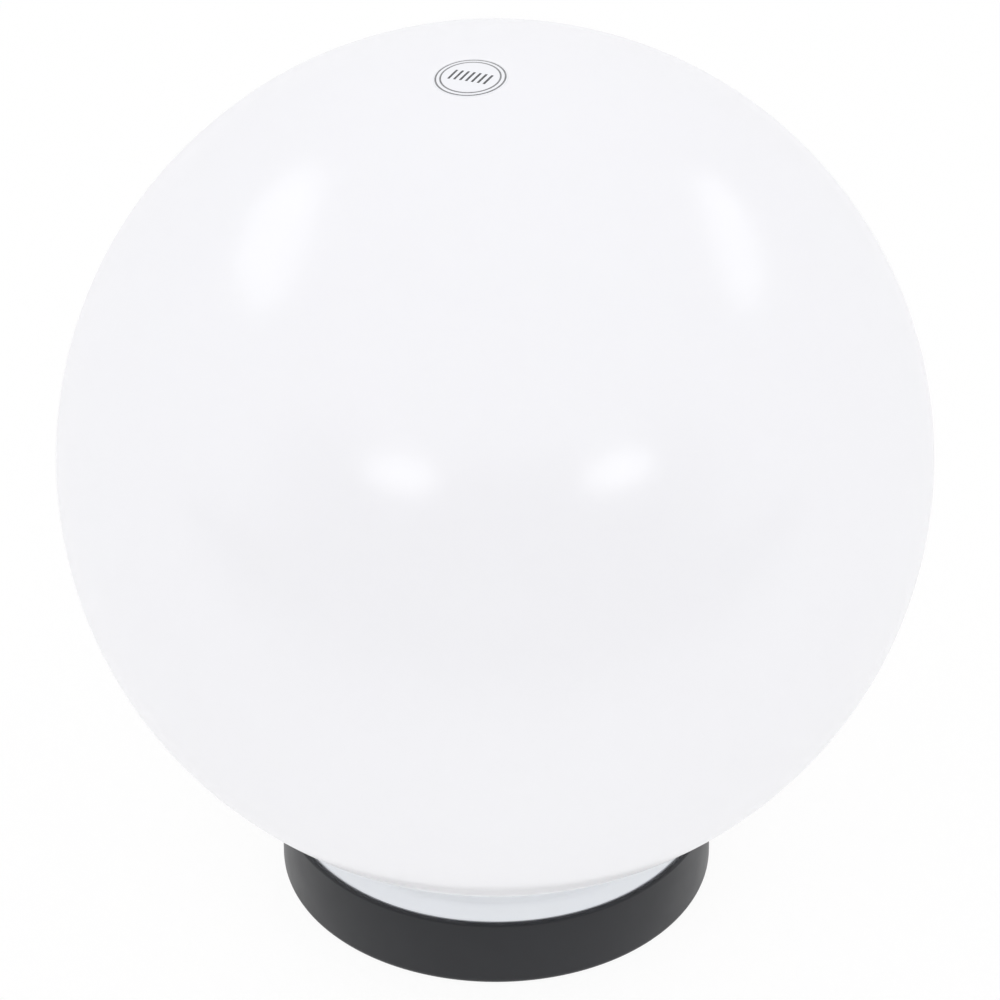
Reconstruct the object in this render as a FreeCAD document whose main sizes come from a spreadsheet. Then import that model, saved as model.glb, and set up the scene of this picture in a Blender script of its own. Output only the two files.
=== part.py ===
import FreeCAD
import Part
import Sketcher
import math
import os
import re

# Garden globe light: an opal ball that clips into a white collar on a round black base,
# with a screw-in bulb in a porcelain lampholder inside it.
# Millimetres. The origin is the middle of the underside, +Z is up, and -Y is the front.

Vector = FreeCAD.Vector
Rotation = FreeCAD.Rotation

DIMENSIONS = {
    # How far a cutting piece stands out of what it cuts
    "through": 1,
    # Ball
    "globe_radius": 150, "globe_wall": 2, "globe_centre": 170,
    "neck_radius": 44, "neck_foot": 13, "neck_bend": 3,
    "lip_radius": 40.3, "lip_top": 15.4, "lip_slope": 1,
    # Round label on the ball, and its place beside the top
    "label_radius": 12.5, "label_thick": 0.2, "label_left": 8, "label_back": 2,
    # Black base
    "base_radius": 75, "base_height": 26.4, "base_wall": 2, "base_floor": 3,
    "base_edge": 1, "rim_round": 0.95, "ledge_radius": 70.5, "ledge_top": 19,
    "foot_inner": 64, "foot_outer": 70, "foot_depth": 1.6, "foot_gap": 0.1,
    "fixing_circle": 58, "fixing_hole": 2.6,
    # White collar in the base
    "collar_radius": 72.6, "collar_edge": 25.6, "collar_round": 1, "collar_land": 71,
    "dish_inner": 50.5, "dish_inner_top": 23.6, "dish_bow": 26, "dish_under": 20,
    "socket_radius": 45.4, "socket_wall": 3, "socket_lead": 1.2,
    "seat_inner": 31, "seat_under": 9, "seat_top": 11.5,
    "edge_seal_thick": 0.8, "edge_seal_lip": 0.3, "edge_seal_gap": 0.03,
    "edge_seal_inner": 70.6, "edge_seal_drop": 0.2, "ledge_gap": 0.4, "socket_fillet": 2,
    "seat_seal_inner": 40.6, "seat_seal_outer": 45.2,
    # Spring clips: foot, upright back, bulge over the neck's lip, and leaning tip
    "clip_thick": 0.6, "clip_width": 8, "clip_foot": 31.8, "clip_back": 39.9,
    "clip_bend": 15.5, "clip_bulge": 41.2, "clip_bulge_low": 17.2, "clip_bulge_top": 17.8,
    "clip_tip": 39.7, "clip_top": 20.8, "clip_tip_drop": 0.2, "clip_bulge_wall": 0.7,
    "clip_bend_wall": 0.3,
    # Screws: head radius and height, shank radius and length; slots as shares of the head
    "slot_reach": 0.65, "slot_half": 0.16, "slot_floor": 0.45,
    "collar_head": 3.4, "collar_head_height": 2.2, "collar_shank": 1.6, "collar_shank_length": 9,
    "bracket_head": 3.3, "bracket_head_height": 1.9,
    "bracket_shank": 1.45, "bracket_shank_length": 4.8,
    "holder_head": 2.9, "holder_head_height": 1.9, "holder_shank": 1.6,
    "holder_shank_length": 10.4,
    "contact_head": 2.6, "contact_head_height": 1.8, "contact_shank": 1.45,
    "contact_shank_length": 3,
    "pole_head": 1.9, "pole_head_height": 2, "pole_shank": 1.2, "pole_shank_length": 1.5,
    "block_head": 2.1, "block_head_height": 1.5, "block_shank": 1.2, "block_shank_length": 13,
    # Where the screws go into the base
    "collar_screw_circle": 35.5, "collar_boss": 4.5, "pilot_floor": 1,
    "collar_pilot": 1.65, "bracket_pilot": 1.5, "block_pilot": 1.25,
    # Cable inlet
    "inlet_back": 50, "inlet_hole": 6, "inlet_recess_radius": 7.8, "inlet_recess": 1.2,
    "inlet_bore": 3.6, "inlet_flange": 7.6, "inlet_low": 0.2, "inlet_top": 4.8,
    "inlet_gap": 0.1, "inlet_shoulder": 1, "inlet_slope": 1.4,
    # Bracket under the lampholder
    "bracket_half": 31, "bracket_width": 18, "bracket_foot": 5, "bracket_top": 8.5,
    "bracket_thick": 1.2, "bracket_screw": 26.5, "bracket_boss": 4.2,
    "bracket_bend_low": 21.5, "bracket_bend_high": 20.3, "bracket_bend_wall": 0.7,
    "holder_screw": 10.5, "screw_hole": 1.9,
    # Lampholder
    "holder_foot_radius": 20.5, "holder_radius": 18.6, "holder_mouth": 14.4,
    "holder_floor": 20, "holder_top": 44, "notch_half": 5.5, "notch_top": 16,
    "holder_foot_round": 0.8, "holder_shoulder": 2, "holder_taper": 0.4,
    "holder_top_round": 2, "holder_mouth_round": 1,
    "nut_floor": 14, "nut_pocket": 3.4, "nut_radius": 3.2, "nut_height": 2.6, "nut_bore": 1.65,
    "shell_low": 22, "shell_high": 41, "shell_inner": 13.45, "shell_outer": 13.95,
    "shell_rib_half": 1.15, "shell_rib_slope": 0.5, "shell_rib_flat": 0.25,
    # Contacts: two plates in slots, one of them with a leaf under the bulb's tip
    "terminal_height": 12.5, "contact_half": 4.8, "contact_thick": 0.6, "contact_low": 9.5,
    "contact_gap": 0.2, "plate_gap": 0.1, "plate_room": 0.3, "contact_hole": 1.6,
    "contact_screw_room": 1.8, "contact_screw_reach": 3.5,
    "live_plate": 10.9, "neutral_plate": 13.95, "shell_plate_half": 3,
    "leaf_flat": 20.6, "leaf_top": 21.9, "leaf_rise_start": 5.9, "leaf_rise_end": 2.4,
    "leaf_tip": 5.6, "leaf_wall": 0.2, "leaf_tip_drop": 0.55,
    # Screw cap, seven turns to 25.4
    "thread_pitch": 3.6286, "cap_inner": 11.6, "cap_root": 12.1, "cap_crest": 13.1,
    "shell_crest": 12.3, "cap_thread_start": 28.5, "cap_turns": 4, "shell_turns": 2,
    "rib_sink": 0.1, "cap_rib_half": 1.45, "cap_rib_slope": 0.65, "cap_rib_flat": 0.3,
    "crest_round": 0.2, "cap_crest_round": 0.25,
    # Bulb
    "bulb_tip": 22, "tip_radius": 4.7, "insulator_low": 23.4, "insulator_radius": 9,
    "tip_slope": 2.2, "tip_edge": 0.7, "insulator_slope": 0.6, "insulator_sink": 1,
    "cap_low": 24.9, "cap_shoulder": 27, "cap_gap": 0.1, "cap_shoulder_wall": 0.3,
    "cap_foot_wall": 0.6,
    "sink_low": 45, "sink_top": 90, "sink_bow": 200, "sink_bore": 11, "sink_foot": 14.6,
    "sink_start": 15.4, "sink_edge": 1, "sink_floor": 5, "sink_inner_low": 12.2,
    "sink_inner_top": 23.8, "board_gap": 0.2,
    "board_height": 86, "board_thick": 1.6, "board_radius": 26.2,
    "bulb_radius": 30, "bulb_centre": 100, "bulb_wall": 1.4,
    "chip_circle": 17, "chip_size": 3.2, "chip_thick": 0.8,
    "driver_half": 9, "driver_half_thick": 0.8, "driver_lift": 6, "driver_gap": 1,
    # Terminal block and wires
    "block_left": 67, "block_right": 51, "block_half": 13.5, "block_top": 14.5,
    "block_hole": 1.4,
    "pole_step": 8.5, "pole_height": 8, "pole_radius": 2.7, "pole_gap": 0.05,
    "pole_end_wall": 1.5, "pole_end_gap": 0.1, "pole_mouth": 1.6, "pole_bore": 1.3,
    "pole_screw_reach": 4, "pole_screw_room": 2.1,
    "wire_radius": 1, "wire_start": 1.4, "wire_gap": 0.05,
    "tag_thick": 0.7, "tag_ring": 3.6, "tag_hole": 1.6, "tag_tongue_half": 1.5,
    "tag_tongue_left": 34, "tag_tongue_right": 29, "tag_barrel_left": 37, "tag_barrel": 1.6,
    "tag_barrel_length": 3.5, "tag_wire_end": 37.25,
}

COLLAR_SCREW_ANGLES = (90, 210, 330)
FIXING_ANGLES = (30, 150, 270)
CHIP_COUNT = 12

doc = FreeCAD.newDocument("garden_globe_light")
sheet = doc.addObject("Spreadsheet::Sheet", "dim")
for row, (alias, value) in enumerate(DIMENSIONS.items(), start=1):
    sheet.set("A%d" % row, alias)
    sheet.set("B%d" % row, str(value))
    sheet.setAlias("B%d" % row, alias)
doc.recompute()

pieces = []


# ---------------------------------------------------------------- helpers

def formula(text):
    """Write a size with the sheet's names spelled in full."""
    return re.sub(r"[a-z_]+", lambda word: "dim." + word[0] if word[0] in DIMENSIONS else word[0],
                  str(text))


def size(text):
    """The number that a size stands for."""
    return float(sheet.evalExpression(formula(text)))


def bind(thing, field, text):
    thing.setExpression(field, formula(text))


def place(thing, where, turn=Rotation()):
    """Put a thing at three sizes, turned about its own origin."""
    thing.Placement = FreeCAD.Placement(Vector(*[size(text) for text in where]), turn)
    for axis, text in zip("xyz", where):
        bind(thing, "Placement.Base." + axis, text)
    return thing


def piece(thing, label):
    """Name a finished piece after the node that it becomes."""
    thing.Label = label
    pieces.append(thing)
    return thing


def on_circle(radius, angle):
    """The X and Y of a place on a circle about the middle."""
    return "%s * cos(%s)" % (radius, angle), "%s * sin(%s)" % (radius, angle)


def outline(body, corners, plane="XZ_Plane"):
    """A closed sketch through its corners.

    A corner is (across, up), or (across, up, radius, side) where an arc leads to the next
    corner, with its centre to the left (side 1) or to the right (side -1) of the way there.
    """
    sketch = body.newObject("Sketcher::SketchObject", "outline")
    origin_plane = [part for part in body.Origin.OriginFeatures if part.Role == plane][0]
    sketch.AttachmentSupport = [(origin_plane, "")]
    sketch.MapMode = "FlatFace"
    spots = [Vector(size(corner[0]), size(corner[1]), 0) for corner in corners]
    ends = []
    for index, corner in enumerate(corners):
        start, end = spots[index], spots[(index + 1) % len(spots)]
        if len(corner) == 2:
            sketch.addGeometry(Part.LineSegment(start, end))
            ends.append((1, 2))
            continue
        radius, side = size(corner[2]), corner[3]
        chord = end - start
        middle = (start + end) * 0.5
        reach = math.sqrt(radius ** 2 - (chord.Length / 2) ** 2)
        centre = middle + Vector(-chord.y, chord.x, 0).normalize() * (side * reach)
        first, last = [math.atan2((spot - centre).y, (spot - centre).x) for spot in (start, end)]
        circle = Part.Circle(centre, Vector(0, 0, 1), radius)
        if side > 0:
            sketch.addGeometry(Part.ArcOfCircle(circle, first, last))
            ends.append((1, 2))
        else:
            sketch.addGeometry(Part.ArcOfCircle(circle, last, first))
            ends.append((2, 1))
    for index, corner in enumerate(corners):
        after = (index + 1) % len(corners)
        sketch.addConstraint(
            Sketcher.Constraint("Coincident", index, ends[index][1], after, ends[after][0]))
        rules = [("DistanceX", (-1, 1, index, ends[index][0]), corner[0]),
                 ("DistanceY", (-1, 1, index, ends[index][0]), corner[1])]
        if len(corner) == 4:
            rules.append(("Radius", (index,), corner[2]))
        for kind, where, text in rules:
            number = sketch.addConstraint(Sketcher.Constraint(kind, *where, size(text)))
            bind(sketch, "Constraints[%d]" % number, text)
    return sketch


def turned_body(name, corners):
    """A body turned about its own Z axis from (radius, height) corners."""
    body = doc.addObject("PartDesign::Body", name)
    turn = body.newObject("PartDesign::Revolution", "turning")
    turn.Profile = outline(body, corners)
    turn.ReferenceAxis = (turn.Profile[0], ["V_Axis"])
    turn.Angle = 360
    return body


def padded_body(name, corners, plane, width):
    """A body of one thickness, centred on one of its own planes."""
    body = doc.addObject("PartDesign::Body", name)
    pad = body.newObject("PartDesign::Pad", "thickness")
    pad.Profile = outline(body, corners, plane)
    pad.SideType = "Symmetric"
    bind(pad, "Length", width)
    return body


def thread(body, corners, turns):
    """Wind a right-handed thread rib round a turned body."""
    rib = body.newObject("PartDesign::AdditiveHelix", "thread")
    rib.Profile = outline(body, corners)
    rib.ReferenceAxis = (rib.Profile[0], ["V_Axis"])
    rib.Mode = "pitch-turns-angle"
    bind(rib, "Pitch", "thread_pitch")
    bind(rib, "Turns", turns)
    return body


def block(name, low, high):
    """A box between its lowest and its highest corner."""
    box = doc.addObject("Part::Box", name)
    for field, start, end in zip(("Length", "Width", "Height"), low, high):
        bind(box, field, "(%s) - (%s)" % (end, start))
    return place(box, low)


def rod(name, start, radius, length, direction=(0, 0, 1)):
    """A cylinder from a point, along a direction."""
    cylinder = doc.addObject("Part::Cylinder", name)
    bind(cylinder, "Radius", radius)
    bind(cylinder, "Height", length)
    return place(cylinder, start, Rotation(Vector(0, 0, 1), Vector(*direction)))


def join(name, parts):
    fused = doc.addObject("Part::MultiFuse", name)
    fused.Shapes = parts
    fused.Refine = True
    return fused


def cut(name, base, tools):
    result = doc.addObject("Part::Cut", name)
    result.Base = base
    result.Tool = tools[0] if len(tools) == 1 else join(name + "_tools", tools)
    return result


def group(name, parts):
    """Identical pieces that share one node."""
    compound = doc.addObject("Part::Compound", name)
    compound.Links = parts
    return compound


def screw(name, where, kind, direction=(0, 0, 1), longer="0"):
    """A cross-slot screw whose head stands on a point and whose shank goes in behind it."""
    head, height = kind + "_head", kind + "_head_height"
    length = "%s_shank_length + %s" % (kind, longer)
    solid = join(name + "_solid", [
        rod(name + "_top", (0, 0, 0), head, height),
        rod(name + "_stem", (0, 0, "-(%s)" % length), kind + "_shank", length)])
    slots = [
        block(name + "_slot", ("-%s * %s" % (across, head), "-%s * %s" % (along, head),
                               "slot_floor * " + height),
              ("%s * %s" % (across, head), "%s * %s" % (along, head), height))
        for across, along in (("slot_reach", "slot_half"), ("slot_half", "slot_reach"))]
    return place(cut(name, solid, slots), where, Rotation(Vector(0, 0, 1), Vector(*direction)))


def wire(label, points):
    """One insulated wire: straight runs joined by arcs as large as the runs allow."""
    spots = [Vector(*[size(text) for text in point]) for point in points]
    radius = size("wire_radius")
    edges, last = [], spots[0]
    for before, corner, after in zip(spots, spots[1:], spots[2:]):
        back, ahead = before - corner, after - corner
        half_turn = (math.pi - back.getAngle(ahead)) / 2
        reach = 0.45 * min(back.Length, ahead.Length)
        bend = reach / math.tan(half_turn)
        arc_start = corner + back.normalize() * reach
        arc_end = corner + ahead.normalize() * reach
        inward = (back + ahead).normalize()
        arc_middle = corner + inward * (bend / math.cos(half_turn) - bend)
        edges.append(Part.LineSegment(last, arc_start).toShape())
        edges.append(Part.Arc(arc_start, arc_middle, arc_end).toShape())
        print("%s bend radius %.1f" % (label, bend))
        last = arc_end
    edges.append(Part.LineSegment(last, spots[-1]).toShape())
    path = Part.Wire(edges)
    section = Part.Wire(Part.Circle(spots[0], spots[1] - spots[0], radius).toShape())
    solid = path.makePipeShell([section], True, False)
    expected = math.pi * radius ** 2 * path.Length
    print("%s length %.0f, volume %.3f of section times length"
          % (label, path.Length, solid.Volume / expected))
    thing = doc.addObject("Part::Feature", label)
    thing.Shape = solid
    return piece(thing, label)


# ---------------------------------------------------------------- ball

def make_globe():
    bend_drop = "sqrt((globe_radius + neck_bend) ^ 2 - (neck_radius + neck_bend) ^ 2)"
    bend_height = "globe_centre - " + bend_drop
    outer_share = "globe_radius / (globe_radius + neck_bend)"
    inner_share = "(globe_radius - globe_wall) / (globe_radius + neck_bend)"
    corners = [
        (0, "globe_centre + globe_radius", "globe_radius", -1),
        ("(neck_radius + neck_bend) * " + outer_share,
         "globe_centre - %s * %s" % (bend_drop, outer_share), "neck_bend", 1),
        ("neck_radius", bend_height),
        ("neck_radius", "neck_foot"),
        ("lip_radius", "neck_foot"),
        ("lip_radius", "lip_top"),
        ("neck_radius - globe_wall", "lip_top + lip_slope"),
        ("neck_radius - globe_wall", bend_height, "neck_bend + globe_wall", -1),
        ("(neck_radius + neck_bend) * " + inner_share,
         "globe_centre - %s * %s" % (bend_drop, inner_share), "globe_radius - globe_wall", 1),
        (0, "globe_centre + globe_radius - globe_wall"),
    ]
    piece(turned_body("globe_body", corners), "globe")


def make_top_sticker():
    """A thin cap of the ball's own curve, tilted from the top to its place beside it."""
    under_edge = "sqrt(globe_radius ^ 2 - label_radius ^ 2)"
    over_edge = "sqrt((globe_radius + label_thick) ^ 2 - label_radius ^ 2)"
    corners = [
        (0, "globe_radius + label_thick", "globe_radius + label_thick", -1),
        ("label_radius", over_edge),
        ("label_radius", under_edge, "globe_radius", 1),
        (0, "globe_radius"),
    ]
    rise = size("sqrt(globe_radius ^ 2 - label_left ^ 2 - label_back ^ 2)")
    towards = Vector(-size("label_left"), size("label_back"), rise)
    body = turned_body("sticker_body", corners)
    piece(place(body, (0, 0, "globe_centre"), Rotation(Vector(0, 0, 1), towards)), "top_sticker")


# ---------------------------------------------------------------- base

def make_base_housing():
    inner = "base_radius - base_wall"
    round_start = "base_height - rim_round"
    cup = turned_body("base_cup", [
        (0, 0),
        ("foot_inner", 0),
        ("foot_inner", "foot_depth"),
        ("foot_outer", "foot_depth"),
        ("foot_outer", 0),
        ("base_radius - base_edge", 0, "base_edge", 1),
        ("base_radius", "base_edge"),
        ("base_radius", round_start, "rim_round", 1),
        ("base_radius - rim_round", "base_height"),
        (inner + " + rim_round", "base_height", "rim_round", 1),
        (inner, round_start),
        (inner, "ledge_top"),
        ("ledge_radius", "ledge_top"),
        ("ledge_radius", "base_floor"),
        (0, "base_floor"),
    ])
    bosses, holes = [], []
    for angle in COLLAR_SCREW_ANGLES:
        x, y = on_circle("collar_screw_circle", angle)
        bosses.append(rod("collar_boss", (x, y, "base_floor"), "collar_boss",
                          "seat_under - base_floor"))
        holes.append(rod("collar_pilot_hole", (x, y, "pilot_floor"), "collar_pilot",
                         "seat_under"))
    for side in (-1, 1):
        x = "%d * bracket_screw" % side
        bosses.append(rod("bracket_boss", (x, 0, "base_floor"), "bracket_boss",
                          "bracket_foot - base_floor"))
        holes.append(rod("bracket_pilot_hole", (x, 0, "pilot_floor"), "bracket_pilot",
                         "bracket_foot"))
        holes.append(rod("block_pilot_hole", ("-(block_left + block_right) / 2",
                                              "%d * pole_step / 2" % side, "pilot_floor"),
                         "block_pilot", "base_floor"))
    for angle in FIXING_ANGLES:
        x, y = on_circle("fixing_circle", angle)
        holes.append(rod("fixing", (x, y, "-through"), "fixing_hole",
                         "base_floor + 2 * through"))
    inlet = (0, "inlet_back", "-through")
    holes.append(rod("inlet", inlet, "inlet_hole", "base_floor + 2 * through"))
    holes.append(rod("inlet_step", inlet, "inlet_recess_radius", "inlet_recess + through"))
    solid = join("base_solid", [cup] + bosses)
    piece(cut("base_housing_cut", solid, holes), "base_housing")


def make_foot_seal():
    inner, outer = "foot_inner + foot_gap", "foot_outer - foot_gap"
    corners = [(inner, 0), (outer, 0), (outer, "foot_depth"), (inner, "foot_depth")]
    piece(turned_body("foot_seal_body", corners), "foot_seal")


def make_cable_grommet():
    neck = "inlet_hole - inlet_gap"
    body = turned_body("grommet_body", [
        ("inlet_bore", "inlet_low"),
        ("inlet_flange", "inlet_low"),
        ("inlet_flange", "inlet_recess"),
        (neck, "inlet_recess"),
        (neck, "base_floor"),
        ("inlet_flange", "base_floor"),
        ("inlet_flange", "inlet_top - inlet_shoulder"),
        ("inlet_flange - inlet_slope", "inlet_top"),
        ("inlet_bore", "inlet_top"),
    ])
    piece(place(body, (0, "inlet_back", 0)), "cable_grommet")


# ---------------------------------------------------------------- collar

def make_collar():
    flange_foot = "ledge_top + edge_seal_thick"
    socket_outer = "socket_radius + socket_wall"
    body = turned_body("collar_body", [
        ("seat_inner", "seat_under"),
        (socket_outer, "seat_under"),
        (socket_outer, "dish_under - socket_fillet"),
        (socket_outer + " + socket_fillet", "dish_under"),
        ("ledge_radius - ledge_gap", "dish_under"),
        ("ledge_radius - ledge_gap", flange_foot),
        ("collar_radius", flange_foot),
        ("collar_radius", "collar_edge - collar_round", "collar_round", 1),
        ("collar_radius - collar_round", "collar_edge"),
        ("collar_land", "collar_edge", "dish_bow", -1),
        ("dish_inner", "dish_inner_top"),
        ("socket_radius + socket_lead", "dish_inner_top"),
        ("socket_radius", "dish_inner_top - socket_lead"),
        ("socket_radius", "seat_top"),
        ("seat_inner", "seat_top"),
    ])
    holes = []
    for angle in COLLAR_SCREW_ANGLES:
        x, y = on_circle("collar_screw_circle", angle)
        holes.append(rod("collar_hole", (x, y, "seat_under - through"), "screw_hole",
                         "seat_top - seat_under + 2 * through"))
    piece(cut("collar_cut", body, holes), "collar")


def make_collar_seal():
    """A ring on the base's ledge, whose thin lip shows between the collar and the rim."""
    wall = "base_radius - base_wall - edge_seal_gap"
    lip_top, flat_top = "collar_edge - edge_seal_drop", "ledge_top + edge_seal_thick"
    piece(turned_body("collar_seal_body", [
        ("edge_seal_inner", "ledge_top"),
        (wall, "ledge_top"),
        (wall, lip_top),
        (wall + " - edge_seal_lip", lip_top),
        (wall + " - edge_seal_lip", flat_top),
        ("edge_seal_inner", flat_top),
    ]), "collar_seal")


def make_neck_seal():
    corners = [("seat_seal_inner", "seat_top"), ("seat_seal_outer", "seat_top"),
               ("seat_seal_outer", "neck_foot"), ("seat_seal_inner", "neck_foot")]
    piece(turned_body("neck_seal_body", corners), "neck_seal")


def make_globe_clips():
    """Bent strips that stand inside the neck and bulge out over its inner lip."""
    foot_top = "seat_top + clip_thick"
    clips = []
    for number, angle in enumerate(COLLAR_SCREW_ANGLES, start=1):
        strip = padded_body("clip_%d_strip" % number, [
            ("clip_foot", "seat_top"),
            ("clip_back", "seat_top"),
            ("clip_back", "clip_bend"),
            ("clip_bulge", "clip_bulge_low"),
            ("clip_bulge", "clip_bulge_top"),
            ("clip_tip", "clip_top"),
            ("clip_tip - clip_thick", "clip_top - clip_tip_drop"),
            ("clip_bulge - clip_bulge_wall", "(clip_bulge_low + clip_bulge_top) / 2"),
            ("clip_back - clip_thick", "clip_bend + clip_bend_wall"),
            ("clip_back - clip_thick", foot_top),
            ("clip_foot", foot_top),
        ], "XZ_Plane", "clip_width")
        hole = rod("clip_%d_hole" % number, ("collar_screw_circle", 0, "seat_top - through"),
                   "screw_hole", "clip_thick + 2 * through")
        clip = cut("clip_%d" % number, strip, [hole])
        clips.append(place(clip, (0, 0, 0), Rotation(Vector(0, 0, 1), angle)))
    piece(group("globe_clip_group", clips), "globe_clips")


def make_collar_screws():
    screws = []
    for number, angle in enumerate(COLLAR_SCREW_ANGLES, start=1):
        x, y = on_circle("collar_screw_circle", angle)
        screws.append(screw("collar_screw_%d" % number, (x, y, "seat_top + clip_thick"),
                            "collar"))
    piece(group("collar_screw_group", screws), "collar_screws")


# ---------------------------------------------------------------- lampholder

def make_lampholder_bracket():
    foot_top = "bracket_foot + bracket_thick"
    under = "bracket_top - bracket_thick"
    low_end, high_end = "bracket_bend_low", "bracket_bend_high"
    right = [
        (high_end, under), (low_end, "bracket_foot"), ("bracket_half", "bracket_foot"),
        ("bracket_half", foot_top), (low_end + " + bracket_bend_wall", foot_top),
        (high_end + " + bracket_bend_wall", "bracket_top")]
    left = [("-(%s)" % across, up) for across, up in reversed(right)]
    strip = padded_body("bracket_strip", right + left, "XZ_Plane", "bracket_width")
    holes = [rod("bracket_hole", ("%d * %s" % (side, reach), 0, 0), "screw_hole",
                 "bracket_top + through")
             for side in (-1, 1) for reach in ("bracket_screw", "holder_screw")]
    piece(cut("bracket_cut", strip, holes), "lampholder_bracket")


def make_bracket_screws():
    """The left one also holds the ring of the earth tag, so it stands higher."""
    foot_top = "bracket_foot + bracket_thick"
    screws = [
        screw("bracket_screw_left", ("-bracket_screw", 0, foot_top + " + tag_thick"), "bracket",
              longer="tag_thick"),
        screw("bracket_screw_right", ("bracket_screw", 0, foot_top), "bracket")]
    piece(group("bracket_screw_group", screws), "bracket_screws")


def make_lampholder_body():
    porcelain = turned_body("holder_porcelain", [
        (0, "bracket_top"),
        ("holder_foot_radius - holder_foot_round", "bracket_top", "holder_foot_round", 1),
        ("holder_foot_radius", "bracket_top + holder_foot_round"),
        ("holder_foot_radius", "notch_top"),
        ("holder_radius + holder_taper", "notch_top + holder_shoulder"),
        ("holder_radius", "holder_top - holder_top_round", "holder_top_round", 1),
        ("holder_radius - holder_top_round", "holder_top"),
        ("holder_mouth + holder_mouth_round", "holder_top", "holder_mouth_round", 1),
        ("holder_mouth", "holder_top - holder_mouth_round"),
        ("holder_mouth", "holder_floor"),
        (0, "holder_floor"),
    ])
    low, high = "bracket_top - through", "holder_floor + through"
    outside = "holder_foot_radius + through"
    plate_slot = "contact_half + contact_gap"
    live_back = "live_plate - contact_thick - plate_room"
    neutral_back = "contact_thick + contact_gap - neutral_plate"
    cuts = [
        block("live_notch", ("-notch_half", "live_plate", low),
              ("notch_half", outside, "notch_top")),
        block("live_slot", ("-(%s)" % plate_slot, live_back, low),
              (plate_slot, "live_plate + plate_gap", high)),
        rod("live_screw_room", (0, "live_plate - contact_screw_reach", "terminal_height"),
            "contact_screw_room", "contact_screw_reach + through", (0, 1, 0)),
        block("neutral_notch", ("-notch_half", "-(%s)" % outside, low),
              ("notch_half", "-neutral_plate", "notch_top")),
        block("neutral_slot", ("-(%s)" % plate_slot, "-(neutral_plate + plate_gap)", low),
              (plate_slot, neutral_back, high)),
        rod("neutral_screw_room", (0, "-neutral_plate", "terminal_height"),
            "contact_screw_room", "contact_screw_reach", (0, 1, 0)),
    ]
    for side in (-1, 1):
        x = "%d * holder_screw" % side
        cuts.append(rod("holder_screw_hole", (x, 0, low), "screw_hole",
                        "nut_floor - bracket_top + 2 * through"))
        cuts.append(rod("holder_nut_pocket", (x, 0, "nut_floor"), "nut_pocket",
                        "holder_floor - nut_floor + through"))
    piece(cut("holder_cut", porcelain, cuts), "lampholder_body")


def make_lampholder_fixings():
    screws, nuts = [], []
    for number, side in enumerate((-1, 1), start=1):
        x = "%d * holder_screw" % side
        screws.append(screw("holder_screw_%d" % number,
                            (x, 0, "bracket_top - bracket_thick"), "holder", (0, 0, -1)))
        prism = doc.addObject("Part::Prism", "nut_%d_prism" % number)
        prism.Polygon = 6
        bind(prism, "Circumradius", "nut_radius")
        bind(prism, "Height", "nut_height")
        place(prism, (x, 0, "nut_floor"))
        bore = rod("nut_%d_bore" % number, (x, 0, "nut_floor - through"), "nut_bore",
                   "nut_height + 2 * through")
        nuts.append(cut("nut_%d" % number, prism, [bore]))
    piece(group("holder_screw_group", screws), "lampholder_screws")
    piece(group("holder_nut_group", nuts), "lampholder_nuts")


def make_lampholder_shell():
    body = turned_body("holder_shell_body", [
        ("shell_inner", "shell_low"), ("shell_outer", "shell_low"),
        ("shell_outer", "shell_high"), ("shell_inner", "shell_high")])
    rib = "cap_thread_start + thread_pitch / 2 "
    rib_base, crest_side = "shell_inner + rib_sink", "shell_crest + crest_round"
    thread(body, [
        (rib_base, rib + "- shell_rib_half"), (rib_base, rib + "+ shell_rib_half"),
        (crest_side, rib + "+ shell_rib_slope"), ("shell_crest", rib + "+ shell_rib_flat"),
        ("shell_crest", rib + "- shell_rib_flat"), (crest_side, rib + "- shell_rib_slope"),
    ], "shell_turns")
    piece(body, "lampholder_shell")


def make_contacts():
    """The live plate ends in a leaf under the bulb's tip, the other one meets the shell."""
    live_back = "live_plate - contact_thick"
    under = "leaf_top - contact_thick"
    leaf = padded_body("live_leaf", [
        ("live_plate", "contact_low"),
        ("live_plate", "leaf_flat"),
        ("leaf_rise_start", "leaf_flat"),
        ("leaf_rise_end", "leaf_top"),
        ("-leaf_rise_end - leaf_wall", "leaf_top"),
        ("-leaf_tip", "leaf_flat"),
        ("leaf_wall - leaf_tip", "leaf_flat - leaf_tip_drop"),
        ("-leaf_rise_end", under),
        ("leaf_rise_end - leaf_wall", under),
        ("leaf_rise_start - leaf_wall", "leaf_flat - contact_thick"),
        (live_back, "leaf_flat - contact_thick"),
        (live_back, "contact_low"),
    ], "YZ_Plane", "2 * contact_half")
    hole = rod("live_hole", (0, live_back + " - through", "terminal_height"), "contact_hole",
               "contact_thick + 2 * through", (0, 1, 0))
    piece(cut("centre_contact_cut", leaf, [hole]), "centre_contact")
    back, front = "-neutral_plate", "contact_thick - neutral_plate"
    plate = join("shell_plate", [
        block("shell_plate_low", ("-contact_half", back, "contact_low"),
              ("contact_half", front, "notch_top")),
        block("shell_plate_high", ("-shell_plate_half", back, "notch_top - through"),
              ("shell_plate_half", front, "shell_low"))])
    hole = rod("shell_hole", (0, back + " - through", "terminal_height"), "contact_hole",
               "contact_thick + 2 * through", (0, 1, 0))
    piece(cut("shell_contact_cut", plate, [hole]), "shell_contact")
    screws = [
        screw("live_screw", (0, "live_plate", "terminal_height"), "contact", (0, 1, 0)),
        screw("neutral_screw", (0, back, "terminal_height"), "contact", (0, -1, 0))]
    piece(group("terminal_screw_pair", screws), "lampholder_terminal_screws")


# ---------------------------------------------------------------- wiring

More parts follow.
